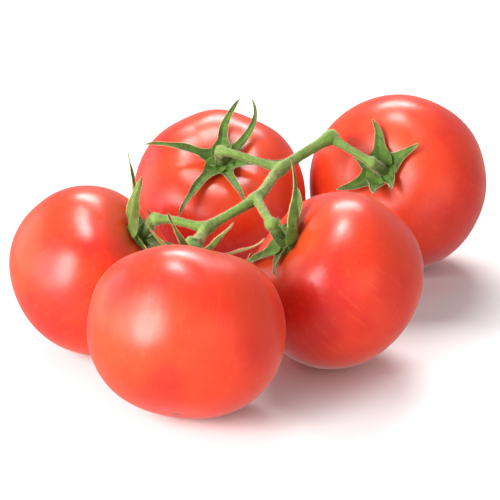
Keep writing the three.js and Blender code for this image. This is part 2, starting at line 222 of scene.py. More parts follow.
# ---- settings a user would change ----
class TomatoLook(bpy.types.PropertyGroup):
    """Colours and surface of the tomatoes"""
    ripe: FloatVectorProperty(
        name="Ripe red", description="Main colour of the skin", subtype="COLOR",
        size=3, min=0, max=1, default=(0.70, 0.040, 0.0095))
    deep: FloatVectorProperty(
        name="Deep red", description="Colour of the most coloured patches", subtype="COLOR",
        size=3, min=0, max=1, default=(0.60, 0.017, 0.0095))
    pale: FloatVectorProperty(
        name="Pale orange", description="Colour of paler shoulders and speckles",
        subtype="COLOR", size=3, min=0, max=1, default=(0.80, 0.15, 0.034))
    roughness: FloatProperty(
        name="Roughness", description="Roughness of the waxy skin", subtype="FACTOR",
        min=0, max=1, default=0.33)
    unevenness: FloatProperty(
        name="Unevenness", description="Height of the soft swellings of the flesh",
        subtype="DISTANCE", unit="LENGTH", default=0.3 * MM)
    detail: IntProperty(
        name="Detail", description="Faces along one edge of each of the six skin patches",
        min=16, max=128, default=64)


class GreenLook(bpy.types.PropertyGroup):
    """Colours of the green parts, and sizes of stem, stalks and sepals"""
    stem: FloatVectorProperty(
        name="Stem green", description="Pale green of the truss stem", subtype="COLOR",
        size=3, min=0, max=1, default=(0.145, 0.285, 0.036))
    leaf: FloatVectorProperty(
        name="Sepal green", description="Green of the sepals", subtype="COLOR",
        size=3, min=0, max=1, default=(0.082, 0.175, 0.022))
    # Also painted as shade on the underside of every rod.
    shade: FloatVectorProperty(
        name="Shaded green", description="Dark green below each knuckle", subtype="COLOR",
        size=3, min=0, max=1, default=(0.05, 0.12, 0.018))
    # Pale colour of fuzz and thin edges, and a painted glow of backlit hairs lit red by the
    # fruit.
    pale_fuzz_and_glow: FloatVectorProperty(
        name="Rim", description="Pale colour of fine hairs and thin edges", subtype="COLOR",
        size=3, min=0, max=1, default=(0.75, 0.50, 0.24))
    pale: FloatVectorProperty(
        name="Young green", description="Pale green of knuckles and the cut end",
        subtype="COLOR", size=3, min=0, max=1, default=(0.30, 0.44, 0.12))
    cream: FloatVectorProperty(
        name="Withered cream", description="Colour of sepals that have begun to dry",
        subtype="COLOR", size=3, min=0, max=1, default=(0.50, 0.36, 0.16))
    # The hairs' own pale colour, tinted orange as a painted glow of backlit hairs lit red by the
    # fruit.
    hair_and_glow: FloatVectorProperty(
        name="Hair", description="Colour of the fine hairs", subtype="COLOR",
        size=3, min=0, max=1, default=(0.85, 0.62, 0.36))
    dry: FloatVectorProperty(
        name="Dry tip", description="Brown of dried tips", subtype="COLOR",
        size=3, min=0, max=1, default=(0.22, 0.13, 0.05))
    front_radius: FloatProperty(
        name="Front radius", description="Radius of the truss stem at its front end",
        subtype="DISTANCE", unit="LENGTH", default=1.632 * MM)
    cut_radius: FloatProperty(
        name="Cut radius", description="Radius of the truss stem at its cut end",
        subtype="DISTANCE", unit="LENGTH", default=2.142 * MM)
    stalk_radius: FloatProperty(
        name="Stalk radius", description="Radius of a stalk between stem and knuckle",
        subtype="DISTANCE", unit="LENGTH", default=1.5 * MM)
    sepal_width: FloatProperty(
        name="Sepal width", description="Greatest width of a sepal",
        subtype="DISTANCE", unit="LENGTH", default=5.2 * MM)


class StudioLook(bpy.types.PropertyGroup):
    """Camera lens, lamps, room and table"""
    lens: FloatProperty(
        name="Lens", description="Focal length of the camera", subtype="DISTANCE_CAMERA",
        unit="CAMERA", default=164.8)
    key_power: FloatProperty(
        name="Key power", description="Power of the middle of the large softbox, on the left",
        unit="POWER", default=7.2)
    halo_power: FloatProperty(
        name="Halo power", description="Power of the softer edge of the large softbox",
        unit="POWER", default=4.8)
    panel_power: FloatProperty(
        name="Panel power", description="Power of the dim panel far to the left",
        unit="POWER", default=3.4)
    fill_power: FloatProperty(
        name="Fill power", description="Power of the dim panel on the right",
        unit="POWER", default=1.8)
    back_power: FloatProperty(
        name="Back power", description="Power of the softbox above and behind",
        unit="POWER", default=4.9)
    top_power: FloatProperty(
        name="Top power", description="Power of the small softbox overhead",
        unit="POWER", default=4.3)
    surround: FloatProperty(
        name="Surround", description="Brightness of the white room", min=0, max=5,
        default=0.46)
    table: FloatVectorProperty(
        name="Table", description="Colour of the pale table", subtype="COLOR",
        size=3, min=0, max=1, default=(0.86, 0.86, 0.865))


# ---- mesh helpers ----
def unit(v):
    """Vectors at length 1."""
    return v / np.maximum(np.linalg.norm(v, axis=-1, keepdims=True), 1e-12)


def make_piece(name, points, faces, smooth=True, **tints):
    """One mesh object; each tint is a number for every vertex, read by its material."""
    data = bpy.data.meshes.new(name)
    data.from_pydata(np.asarray(points).tolist(), [], [tuple(map(int, f)) for f in faces])
    for tint, values in tints.items():
        layer = data.attributes.new(tint, "FLOAT", "POINT")
        layer.data.foreach_set("value", np.asarray(values, np.float32))
    data.polygons.foreach_set("use_smooth", [smooth] * len(data.polygons))
    data.validate()
    piece = bpy.data.objects.new(name, data)
    bpy.context.collection.objects.link(piece)
    return piece


def hand_over(piece, node, material):
    """The piece stands for its node and takes the slot's finish."""
    piece.data.materials.append(material)
    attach(piece, "root")
    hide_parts(node)


def soft_waves(points, seed, length, count=7):
    """Smooth bumps between about -1 and 1, about one length apart."""
    rng = np.random.default_rng(seed)
    total = np.zeros(len(points))
    for _ in range(count):
        way = unit(rng.normal(size=3)) * 2 * math.pi / (length * rng.uniform(0.7, 1.6))
        total += np.sin(points @ way + rng.uniform(0, 2 * math.pi))
    return total / math.sqrt(count)


def tube_faces(rings, sides):
    """Faces of a closed tube whose two end points follow its rings."""
    faces = []
    for i in range(rings - 1):
        for j in range(sides):
            k = (j + 1) % sides
            faces.append((i * sides + j, i * sides + k,
                          (i + 1) * sides + k, (i + 1) * sides + j))
    start, end, last = rings * sides, rings * sides + 1, (rings - 1) * sides
    for j in range(sides):
        k = (j + 1) % sides
        faces.append((start, k, j))
        faces.append((end, last + j, last + k))
    return faces


def add_hairs(points, faces, roots, ways, seed, length):
    """Adds a fine closed spike at each root, leaning a little off its way."""
    rng = np.random.default_rng(seed)
    count = len(roots)
    ways = unit(unit(ways) + rng.normal(scale=HAIR_LEAN, size=(count, 3)))
    side = unit(np.cross(ways, rng.normal(size=(count, 3))))
    over = np.cross(ways, side)
    long = length * rng.uniform(*HAIR_SPAN, (count, 1))
    foot = roots - ways * HAIR_ROOT
    corners = [foot + HAIR_THICKNESS * (math.cos(a) * side + math.sin(a) * over)
               for a in (0, 2 * math.pi / 3, 4 * math.pi / 3)]
    spikes = np.stack([*corners, roots + ways * long], 1).reshape(-1, 3)
    first = len(points) + 4 * np.arange(count)[:, None]
    for trio in ((0, 2, 1), (0, 1, 3), (1, 2, 3), (2, 0, 3)):
        faces += (first + trio).tolist()
    return np.vstack([points, spikes]), faces


def lengthened(values, count, value=0.0):
    """The same numbers, with one more for each corner of the spikes."""
    return np.concatenate([values, np.full(4 * count, value)])


# ---- smooth curve through points ----
def curve_points(knots, per_span):
    """A centripetal Catmull-Rom curve, evenly respaced."""
    knots = np.asarray(knots, float)
    knots = np.vstack([2 * knots[0] - knots[1], knots, 2 * knots[-1] - knots[-2]])
    path = []
    for p0, p1, p2, p3 in zip(knots, knots[1:], knots[2:], knots[3:]):
        d0, d1, d2 = (math.sqrt(np.linalg.norm(b - a)) or 1e-6
                      for a, b in ((p0, p1), (p1, p2), (p2, p3)))
        t1 = ((p1 - p0) / d0 - (p2 - p0) / (d0 + d1) + (p2 - p1) / d1) * d1
        t2 = ((p2 - p1) / d1 - (p3 - p1) / (d1 + d2) + (p3 - p2) / d2) * d1
        s = np.linspace(0, 1, per_span, endpoint=False)[:, None]
        path.append(p1 + t1 * s + (3 * (p2 - p1) - 2 * t1 - t2) * s ** 2
                    + (2 * (p1 - p2) + t1 + t2) * s ** 3)
    path = np.vstack(path + [knots[-2][None]])
    run = np.concatenate([[0], np.cumsum(np.linalg.norm(np.diff(path, axis=0), axis=1))])
    even = np.linspace(0, run[-1], len(path))
    return np.stack([np.interp(even, run, path[:, i]) for i in range(3)], 1)


def carried_frames(path):
    """Two directions across the path at each point, carried along without twisting."""
    ahead = unit(np.gradient(path, axis=0))
    side = unit(np.cross(ahead[0], (0.3, 0.2, 1.0)))
    sides = []
    for way in ahead:
        side = unit(side - way * (side @ way))
        sides.append(side)
    sides = np.array(sides)
    return ahead, sides, np.cross(ahead, sides)


# ---- tomato shape ----
def stance(fruit):
    """Axes of a tomato as columns: level, up the shoulder, out through the stem end."""
    facing, tilt = math.radians(fruit["facing"]), math.radians(fruit["tilt"])
    out = np.array([math.cos(tilt) * math.cos(facing),
                    math.cos(tilt) * math.sin(facing), math.sin(tilt)])
    level = np.array([-math.sin(facing), math.cos(facing), 0])
    return np.stack([level, np.cross(out, level), out], 1)


def crown_height(fruit, r):
    """Height of the skin at distance r from the stem axis, on the stem's half."""
    radius = fruit["width"] / 2
    across = np.clip(np.asarray(r) / radius, 0, 1) ** STEM_HALF_POWER
    dome = fruit["squash"] * radius * (1 - across) ** (1 / STEM_HALF_POWER)
    dip = np.exp(-(np.asarray(r) / (DIMPLE_WIDTH * radius)) ** 2)
    return dome - DIMPLE_DEPTH * radius * dip


def skin_profile(fruit, turn):
    """Distance from the axis and height along it, for angles from the stem end."""
    radius = fruit["width"] / 2
    cosine, sine = np.cos(turn), np.sin(turn)
    half = np.where(cosine >= 0, STEM_HALF_POWER, BLOSSOM_HALF_POWER)
    r = radius * np.abs(sine) ** (2 / half)
    dome = fruit["squash"] * radius * np.abs(cosine) ** (2 / half)
    dip = np.exp(-(r / (BLOSSOM_DIP_WIDTH * radius)) ** 2)
    lower = BLOSSOM_DIP_DEPTH * radius * dip - dome
    return r, np.where(cosine >= 0, crown_height(fruit, r), lower)


def lobes(fruit, turn, around):
    """Shoulders stand out in uneven lobes round the dimple and fade before the waist."""
    rng = np.random.default_rng(fruit["seed"])
    fade = np.clip((np.cos(turn) - LOBE_END) / LOBE_RUN, 0, 1) ** 1.5
    strength = np.sin(turn) ** 2 * fade
    once, twice = LOBE_UNEVEN
    uneven = 1 + once * np.sin(around + rng.uniform(0, 6)) \
        + twice * np.sin(2 * around + rng.uniform(0, 6))
    phase = fruit["lobes"] * (around - math.radians(fruit["lobe_turn"]))
    creased = 2 * np.abs(np.cos(phase / 2)) ** 0.8 - 1.25
    near_crown = np.exp(-(np.sin(turn) / CREASED_CROWN) ** 4)
    wave = np.cos(phase) * (1 - near_crown) + CREASE_GAIN * creased * near_crown
    return 1 + LOBE_GAIN * fruit["lobe_height"] * strength * uneven * wave


def skin_grid(detail):
    """Directions over a sphere from six square patches, welded, and their faces."""
    line = np.tan(np.linspace(-1, 1, detail + 1) * math.pi / 4)
    u, v = np.meshgrid(line, line, indexing="ij")
    one = np.ones_like(u)
    patches = [(u, v, one), (v, u, -one), (one, u, v), (-one, v, u), (v, one, u), (u, -one, v)]
    rows = detail + 1
    points = np.vstack([np.stack(p, -1).reshape(-1, 3) for p in patches])
    corner = (np.arange(detail)[:, None] * rows + np.arange(detail)).ravel()
    quad = np.stack([corner, corner + rows, corner + rows + 1, corner + 1], 1)
    faces = np.vstack([quad + i * rows * rows for i in range(6)])
    points = unit(points)
    keys = np.round(points * 1e5).astype(int)
    _, first, weld = np.unique(keys, axis=0, return_index=True, return_inverse=True)
    return points[first], weld.ravel()[faces]


def fruit_points(fruit, directions):
    """Skin points in the tomato's own axes, with the two angles of each."""
    turn = np.arccos(np.clip(directions[:, 2], -1, 1))
    around = np.arctan2(directions[:, 1], directions[:, 0])
    r, z = skin_profile(fruit, turn)
    plain = np.stack([r * np.cos(around), r * np.sin(around), z], 1)
    return plain * lobes(fruit, turn, around)[:, None], turn, around


@functools.cache
def place_of(name):
    """A tomato's middle, so that it fills its node's box and rests on the table."""
    directions, _ = skin_grid(PLACING_DETAIL)
    points, _, _ = fruit_points(FRUITS[name], directions)
    turned = points @ stance(FRUITS[name]).T
    low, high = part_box(f"tomato_{name}")
    middle = (np.array(low) + np.array(high)) / 2
    place = middle - (turned.min(0) + turned.max(0)) / 2
    place[2] = -turned[:, 2].min() - PRESS
    return place


def cup_floor(name):
    """Height of a cup's underside above the middle of its tomato."""
    return float(crown_height(FRUITS[name], 0)) + CUP_LIFT


def anchors(name):
    """Top of a cup, the way out of it, and the stalk's point on the truss stem."""
    out = stance(FRUITS[name])[:, 2]
    top = place_of(name) + out * (cup_floor(name) + CUP_THICKNESS + GAP)
    return out, top, top + np.array(STALKS[name]["node"]) * MM


def build_tomato(name, look):
    """One tomato, with how ripe and how far round each of its points is."""
    fruit = FRUITS[name]
    directions, faces = skin_grid(look.detail)
    local, turn, around = fruit_points(fruit, directions)
    points = local @ stance(fruit).T + place_of(name)
    normal = unit(directions * (1, 1, 1 / fruit["squash"])) @ stance(fruit).T
    bumps = soft_waves(points, fruit["seed"], BROAD_SWELL) * look.unevenness
    bumps += soft_waves(points, fruit["seed"] + 1, FINE_SWELL) * look.unevenness * FINE_SHARE
    keep = np.clip(points[:, 2] / REST_FADE, 0, 1) * np.clip(turn / CROWN_FADE, 0, 1)
    points = points + normal * (bumps * keep)[:, None]
    points[:, 2] = np.maximum(points[:, 2], 0)
    return make_piece(
        f"tomato_{name}", points, faces, ripeness=turn / math.pi,
        round_x=np.cos(around) * np.sin(turn), round_y=np.sin(around) * np.sin(turn))


# ---- truss stem and stalks ----
def swelling(distance, spread):
    """1 at no distance, fading evenly to 0 on both sides."""
    return np.exp(-(distance / spread) ** 2)


def swell(distance, size):
    """A swelling of its own height, from its [height, spread]."""
    height, spread = size
    return height * swelling(distance, spread)


def stem_path():
    """Middle line of the truss stem, and the nodes on it."""
    nodes = [anchors(name)[2] for name in STEM_ORDER]
    first = nodes[0] + unit(nodes[0] - nodes[1]) * FRONT_END
    last = nodes[-1] + unit(nodes[-1] - nodes[-2]) * CUT_END
    return curve_points([first, *nodes, last], 40), nodes


def bend_room(path, around):
    """How far a rod's skin may reach towards the inside of its bends."""
    step = np.linalg.norm(path[1] - path[0])
    bend = np.gradient(unit(np.gradient(path, axis=0)), axis=0) / step
    inward = (around * bend[:, None]).sum(-1)
    return BEND_ROOM / np.maximum(inward, 1e-6)


def rod(name, path, radius, sides, seed, **tints):
    """A ribbed, slightly uneven rod along a path, with fine hairs all over."""
    _, side, over = carried_frames(path)
    angle = 2 * math.pi * np.arange(sides) / sides
    around = side[:, None] * np.cos(angle)[None, :, None] \
        + over[:, None] * np.sin(angle)[None, :, None]
    ribbed = 1 + RIB_HEIGHT * np.cos(RIBS * angle + seed)[None, :]
    reach = np.minimum(radius[:, None] * ribbed, bend_room(path, around))
    flat = (path[:, None] + around * reach[..., None]).reshape(-1, 3)
    (long, high), (short, low) = ROD_SWELLS
    bumps = soft_waves(flat, seed + 3, long) * high + soft_waves(flat, seed + 5, short) * low
    flat = flat + around.reshape(-1, 3) * bumps[:, None]
    skin = len(flat)
    points = np.vstack([flat, path[0], path[-1]])
    run = np.linalg.norm(np.diff(path, axis=0), axis=1).sum()
    count = int(HAIRS_PER_MM2 * run * 2 * math.pi * radius.mean() / MM ** 2)
    rng = np.random.default_rng(seed + 17)
    roots = rng.integers(sides, skin - sides, count)
    nudge = rng.uniform(-0.5, 0.5, (count, 1)) * (path[1] - path[0])
    points, faces = add_hairs(points, tube_faces(len(path), sides), flat[roots] + nudge,
                              around.reshape(-1, 3)[roots], seed, HAIR_LENGTH)
    # Painted shade: each rod's underside is darkened towards the shaded green, less so where it
    # is dry.
    underside_shade = np.clip(-around[..., 2], 0, 1) * (1 - tints["dryness"][:, None])
    tints["shading"] = tints["shading"][:, None] + UNDER_SHADE * underside_shade
    spread = {t: lengthened(np.concatenate([over_rod(v, sides), [v.flat[0], v.flat[-1]]]), count)
              for t, v in tints.items()}
    fuzz = lengthened(np.zeros(skin + 2), count, 1.0)
    return make_piece(name, points, faces, fuzz=fuzz, **spread)


def over_rod(values, sides):
    """One number for each point of a rod's skin, from one for each ring if need be."""
    return values.ravel() if values.ndim == 2 else np.repeat(values, sides)


def end_round(run, ends, radius):
    """Narrows a rod to a blunt end over its last few tenths of a millimetre."""
    scale = np.ones_like(run)
    for end in ends:
        near = np.clip(np.abs(run - end) / (0.6 * radius), 0, 1)
        scale *= np.sqrt(1 - (1 - near) ** 2)
    return scale


def build_stem(look):
    """The truss stem, thick at each node, dry at its front end and pale at its cut."""
    path, nodes = stem_path()
    share = np.linspace(0, 1, len(path))
    length = np.linalg.norm(np.diff(path, axis=0), axis=1).sum()
    run = share * length
    away = np.min([np.linalg.norm(path - node, axis=1) for node in nodes], 0)
    radius = look.front_radius + (look.cut_radius - look.front_radius) * share
    radius = (radius + swell(away, NODE)) * (1 - swell(run, FRONT_TAPER))
    radius *= np.clip(end_round(run, [0, length], BLUNT_END), BLUNT_LEAST, 1)
    return rod("truss_stem", path, radius, STEM_SIDES, seed=7,
               dryness=swelling(run, FRONT_DRY), paleness=swelling(length - run, CUT_PALE),
               shading=np.zeros_like(run))


def build_stalk(name, look):
    """A stalk from its cup, through its knuckle, to its node on the truss stem."""
    out, top, node = anchors(name)
    stalk = STALKS[name]
    knuckle = top + out * stalk["neck"] * MM + np.array(stalk["lean"]) * MM
    path = curve_points([top - out * STALK_SUNK, top + out * STALK_RISE, knuckle,
                         node + unit(knuckle - node) * STALK_JOIN, node], 26)
    from_knuckle = np.linalg.norm(path - knuckle, axis=1)
    from_top = np.linalg.norm(path - top, axis=1)
    from_node = np.linalg.norm(path - node, axis=1)
    past = np.arange(len(path)) < from_knuckle.argmin()
    radius = look.stalk_radius + np.where(past, KNUCKLE[0], swell(from_knuckle, KNUCKLE))
    radius += swell(from_knuckle, KNUCKLE_CREST)
    radius -= np.where(past, swell(from_knuckle - GROOVE_PLACE, KNUCKLE_GROOVE), 0)
    radius += swell(from_top, STALK_FOOT) + swell(from_node, STALK_NODE)
    shading = np.where(past, np.clip(from_knuckle / (1.2 * MM), 0, 1), 0)
    return rod(f"stalk_{name}", path, radius, STALK_SIDES, seed=13 + len(name),
               dryness=np.zeros(len(path)), paleness=swell(from_knuckle, KNUCKLE_PALE),
               shading=FOOT_SHADE * shading)


# ---- calyx ----
def build_cup(name, look):
    """A low star-shaped boss: it bulges towards each sepal."""
    fruit = FRUITS[name]
    angle = 2 * math.pi * np.arange(CUP_SIDES) / CUP_SIDES
    towards = [math.radians(shape[0]) for shape in SEPALS[name]]
    near = np.max([np.cos(angle - t) for t in towards], 0)
    point = np.clip((near - CUP_POINT_START) / (1 - CUP_POINT_START), 0, 1) ** 2
    reach = CUP_RADIUS * (CUP_WAIST + CUP_POINTS * point)
    rows = []
    for i in range(CUP_RINGS):
        share = (i + 1) / CUP_RINGS
        height = CUP_THICKNESS * (1 - share ** 2.5) + CUP_CROWN * swelling(share, 0.45)
        r = reach * share
        rows.append(np.stack([r * np.cos(angle), r * np.sin(angle),
                              cup_floor(name) + height * np.ones(CUP_SIDES)], 1))
    rows.append(rows[-1] * (0.93, 0.93, 1) - (0, 0, CUP_SKIRT))
    under = (0, 0, cup_floor(name) - 0.9 * CUP_SKIRT)
    over = (0, 0, cup_floor(name) + CUP_THICKNESS + CUP_CROWN)
    local = np.vstack([*rows[::-1], under, over])
    local[:, 2] += soft_waves(local, fruit["seed"], 2.5 * MM) * 0.08 * MM
    points = local @ stance(fruit).T + place_of(name)
    share = np.linalg.norm(local[:, :2], axis=1) / CUP_RADIUS
    nothing = np.zeros(len(points))
    # The boss is darker green towards its middle, where the stalk stands.
    return make_piece(f"calyx_{name}", points, tube_faces(CUP_RINGS + 1, CUP_SIDES),
                      fuzz=nothing, dryness=nothing, paleness=nothing,
                      shading=np.clip(1.0 - share, 0, 0.8))


def sepal_midline(shape):
    """Middle line of a sepal, bending evenly from its root to its tip."""
    _, sway, root_rise, tip_rise, length = shape[:5]
    share = np.linspace(0, 1, SEPAL_STEPS + 1)
    rise = np.radians(root_rise + (tip_rise - root_rise) * share)
    step = length * MM / SEPAL_STEPS
    r = CUP_RADIUS + GAP + np.concatenate([[0], np.cumsum(step * np.cos(rise[:-1]))])
    z = np.concatenate([[0], np.cumsum(step * np.sin(rise[:-1]))])
    swing = np.radians(sway * share ** 2)
    line = np.stack([r * np.cos(swing), r * np.sin(swing), z], 1)
    inner = np.linspace(SEPAL_START, CUP_RADIUS + GAP, 6)[:-1]
    root = np.stack([inner, 0 * inner, 0 * inner - 0.1 * MM], 1)
    share = np.concatenate([0 * inner, share])
    return np.vstack([root, line]), share


def sepal_width(share, length):
    """Share of the full width: webbed at its root, soon narrower, then a fine tip."""
    web = WEB * swelling(share * length, WEB_LENGTH)
    belly = BELLY * swelling(share - BELLY_PLACE, BELLY_SPAN)
    taper = (1 - share ** 1.9) ** 0.8
    return (PLAIN_WIDTH + web + belly) * np.maximum(taper, TIP_WIDTH)


def turned_sides(ahead, twist):
    """Side and upper directions along a sepal, twisting about its middle line."""
    side = unit(np.stack([-ahead[:, 1], ahead[:, 0], 0 * ahead[:, 0]], 1))
    top = np.cross(ahead, side)
    cos, sin = np.cos(twist)[:, None], np.sin(twist)[:, None]
    return side * cos + top * sin, top * cos - side * sin


def build_sepal(name, index, look):
    """A pointed sepal with a folded, wavy blade, a raised rib and fine hairs."""
    fruit, shape = FRUITS[name], SEPALS[name][index]
    seed = fruit["seed"] * 10 + index
    rng = np.random.default_rng(seed)
    line, share = sepal_midline(shape)
    ahead = unit(np.gradient(line, axis=0))
    twist = rng.uniform(-TWIST, TWIST) * share ** 1.3 \
        + TURNED.get(f"{name}_{index + 1}", 0) * np.clip(share / 0.25, 0, 1)
    side, top = turned_sides(ahead, np.radians(twist))
    sway = rng.uniform(*WAVES) * MM * np.sin(share * rng.uniform(5, 9) + rng.uniform(0, 6))
    line = line + side * (sway * share)[:, None]
    breadth, fold, dryness = shape[5:]
    half = sepal_width(share, shape[4]) * breadth * look.sepal_width / 2
    wave = rng.uniform(*WAVES) * MM * np.sin(share * rng.uniform(9, 16) + rng.uniform(0, 6))
    across = SEPAL_ACROSS
    rib = swelling(across, 0.15)
    vein = np.cos(across * math.pi * 3.3) * (1 - rib)
    flank = np.abs(across)
    rows = []
    for i, s in enumerate(share):
        thick = SEPAL_THICK * (1 - flank) ** 0.7 * (1 - 0.75 * s) + SEPAL_EDGE
        up = half[i] * fold * flank ** 1.4 + wave[i] * across * flank * s \
            + VEIN_UP * vein + RIB_UP * rib * (1 - s)
        down = up - thick - RIB_DOWN * rib * (1 - s)
        spread = line[i] + side[i] * (half[i] * across)[:, None]
        rows.append(np.vstack([(spread + top[i] * up[:, None])[::-1],
                               spread + top[i] * down[:, None]]))
    sides = 2 * len(across)
    local = np.vstack([*rows, rows[0].mean(0), line[-1] + ahead[-1] * SEPAL_TIP])
    edge = np.tile(np.concatenate([flank[::-1], flank]), len(line))
    along = np.concatenate([np.repeat(share, sides), [0, 1]])
    # rimness runs from the middle to the edges; the material paints the pale rib, and the edges'
    # pale hairs and glow, from it.
    rims = np.concatenate([edge, [0, 1]]) * np.clip(along * 7 - 0.4, 0, 1)
    local, faces, count = sepal_hairs(local, line, side, top, sides, seed)
    local[:, 2] += cup_floor(name) + SEPAL_LIFT
    turn = math.radians(shape[0])
    spin = np.array([[math.cos(turn), -math.sin(turn), 0],
                     [math.sin(turn), math.cos(turn), 0], [0, 0, 1]])
    points = local @ spin.T @ stance(fruit).T + place_of(name)
    return make_piece(f"sepal_{name}_{index + 1}", points, faces,
                      along=lengthened(along, count), rimness=lengthened(rims, count),
                      withered=lengthened(0 * rims + dryness, count),
                      fuzz=lengthened(0 * rims, count, 1.0))


def sepal_hairs(local, line, side, top, sides, seed):
    """Fine hairs along both edges of a sepal, and some over its back and face."""
    rng = np.random.default_rng(seed + 5)
    rings = len(line)
    length = np.linalg.norm(np.diff(line, axis=0), axis=1).sum() / MM
    on_edge = int(2 * EDGE_HAIRS_PER_MM * length)
    ring = rng.uniform(8, rings - 2, on_edge)
    low = ring.astype(int)
    left = rng.integers(0, 2, on_edge)
    corner = np.where(left == 1, sides // 2 - 1, 0)
    part = (ring - low)[:, None]
    edge = local[low * sides + corner] * (1 - part) + local[(low + 1) * sides + corner] * part
    outward = side[low] * np.where(left == 1, -1, 1)[:, None] + top[low] * 0.4
    over = int(HAIRS_PER_MM2 * length * 3)
    pick = rng.integers(8, rings - 3, over)
    spot = rng.integers(1, sides - 1, over)
    upper = np.where(spot < sides // 2, 1, -1)[:, None]
    roots = np.vstack([edge, local[pick * sides + spot]])
    ways = np.vstack([outward, top[pick] * upper])
    points, faces = add_hairs(local, tube_faces(rings, sides), roots, ways, seed,
                              HAIR_LENGTH * SEPAL_HAIRS)
    return points, faces, on_edge + over


# ---- material helpers ----
class Shader:
    """A new node material with short calls for the nodes these finishes use."""

    def __init__(self, name):
        self.material = bpy.data.materials.new(name)
        self.material.use_nodes = True
        self.nodes = self.material.node_tree.nodes
        self.links = self.material.node_tree.links
        self.body = self.nodes["Principled BSDF"]
        self.place = self.nodes.new("ShaderNodeTexCoord").outputs["Object"]

    def tint(self, name):
        """A mesh's own number for each of its points."""
        node = self.nodes.new("ShaderNodeAttribute")
        node.attribute_name = name
        return node.outputs["Fac"]

    def noise(self, scale, detail=3, roughness=0.5, where=None):
        node = self.nodes.new("ShaderNodeTexNoise")
        node.inputs["Scale"].default_value = scale
        node.inputs["Detail"].default_value = detail
        node.inputs["Roughness"].default_value = roughness
        self.links.new(where or self.place, node.inputs["Vector"])
        return node.outputs["Fac"]

    def cells(self, scale):
        node = self.nodes.new("ShaderNodeTexVoronoi")
        node.inputs["Scale"].default_value = scale
        self.links.new(self.place, node.inputs["Vector"])
        return node.outputs["Distance"]

    def ramp(self, value, low, high, start=0.0, end=1.0):
        """Runs smoothly from start to end while the value goes from low to high."""
        node = self.nodes.new("ShaderNodeMapRange")
        node.inputs["From Min"].default_value = low
        node.inputs["From Max"].default_value = high
        node.inputs["To Min"].default_value = start
        node.inputs["To Max"].default_value = end
        node.interpolation_type = "SMOOTHSTEP"
        self.links.new(value, node.inputs["Value"])
        return node.outputs["Result"]

    def math(self, kind, a, b):
        node = self.nodes.new("ShaderNodeMath")
        node.operation = kind
        for socket, value in zip(node.inputs, (a, b)):
            if isinstance(value, (int, float)):
                socket.default_value = value
            else:
                self.links.new(value, socket)
        return node.outputs[0]

    def vector(self, x, y, z):
        node = self.nodes.new("ShaderNodeCombineXYZ")
        for socket, value in zip(node.inputs, (x, y, z)):
            self.links.new(value, socket)
        return node.outputs[0]

    def mix(self, amount, a, b):
        node = self.nodes.new("ShaderNodeMix")
        node.data_type = "RGBA"
        self.links.new(amount, node.inputs["Factor"])
        for key, value in (("A", a), ("B", b)):
            socket = next(s for s in node.inputs if s.name == key and s.type == "RGBA")
            if isinstance(value, bpy.types.NodeSocket):
                self.links.new(value, socket)
            else:
                socket.default_value = (*value, 1)
        return next(s for s in node.outputs if s.type == "RGBA")

    def bump(self, height, distance, strength):
        node = self.nodes.new("ShaderNodeBump")
        node.inputs["Distance"].default_value = distance
        node.inputs["Strength"].default_value = strength
        self.links.new(height, node.inputs["Height"])
        self.links.new(node.outputs["Normal"], self.body.inputs["Normal"])

    def set(self, **values):
        """Sets or links the shader's own sockets, with _ for a space in their names."""
        for key, value in values.items():
            socket = self.body.inputs[key.replace("_", " ")]
            if isinstance(value, bpy.types.NodeSocket):
                self.links.new(value, socket)
            else:
                socket.default_value = value


def darker(colour, share):
    """The colour at a share of its brightness."""
    return tuple(share * c for c in colour)


def tomato_skin(look):
    """Waxy red skin: deep patches, pale streaks, shoulders and speckles, a dry scar."""
    s = Shader("waxy_tomato_skin")
    patches = s.ramp(s.noise(scale=34, detail=2), 0.38, 0.66)
    colour = s.mix(patches, tuple(look.ripe), tuple(look.deep))
    lengthwise = s.vector(s.math("MULTIPLY", s.tint("round_x"), STREAKS_ROUND),
                          s.math("MULTIPLY", s.tint("round_y"), STREAKS_ROUND),
                          s.math("MULTIPLY", s.tint("ripeness"), STREAKS_DOWN))
    streaks = s.ramp(s.noise(scale=2.2, detail=4, roughness=0.6, where=lengthwise),
                     0.52, 0.74, end=0.22)
    colour = s.mix(streaks, colour, tuple(look.pale))
    shoulder = s.ramp(s.tint("ripeness"), 0.30, 0.08, end=0.25)
    colour = s.mix(shoulder, colour, tuple(look.pale))
    speckles = s.ramp(s.cells(scale=900), 0.20, 0.05, end=0.20)
    colour = s.mix(speckles, colour, tuple(look.pale))
    scar = s.ramp(s.tint("ripeness"), 0.985, 0.993)
    colour = s.mix(scar, colour, SCAR_BROWN)
    mottle = s.ramp(s.noise(scale=160), 0.3, 0.7,
                    look.roughness - SKIN_MOTTLE, look.roughness + SKIN_MOTTLE)
    s.set(Base_Color=colour, Roughness=mottle, IOR=1.38, Subsurface_Weight=0.35,
          Subsurface_Scale=SKIN_DEPTH, Subsurface_Radius=SKIN_SCATTER,
          Coat_Weight=0.12, Coat_Roughness=0.25,
          Sheen_Weight=0.07, Sheen_Roughness=0.3, Sheen_Tint=SKIN_BLOOM)
    pores = s.math("MULTIPLY", s.noise(scale=420, detail=2), 0.8)
    grain = s.math("ADD", s.noise(scale=1400, detail=2), pores)
    s.bump(grain, distance=0.12 * MM, strength=0.35)
    return s.material


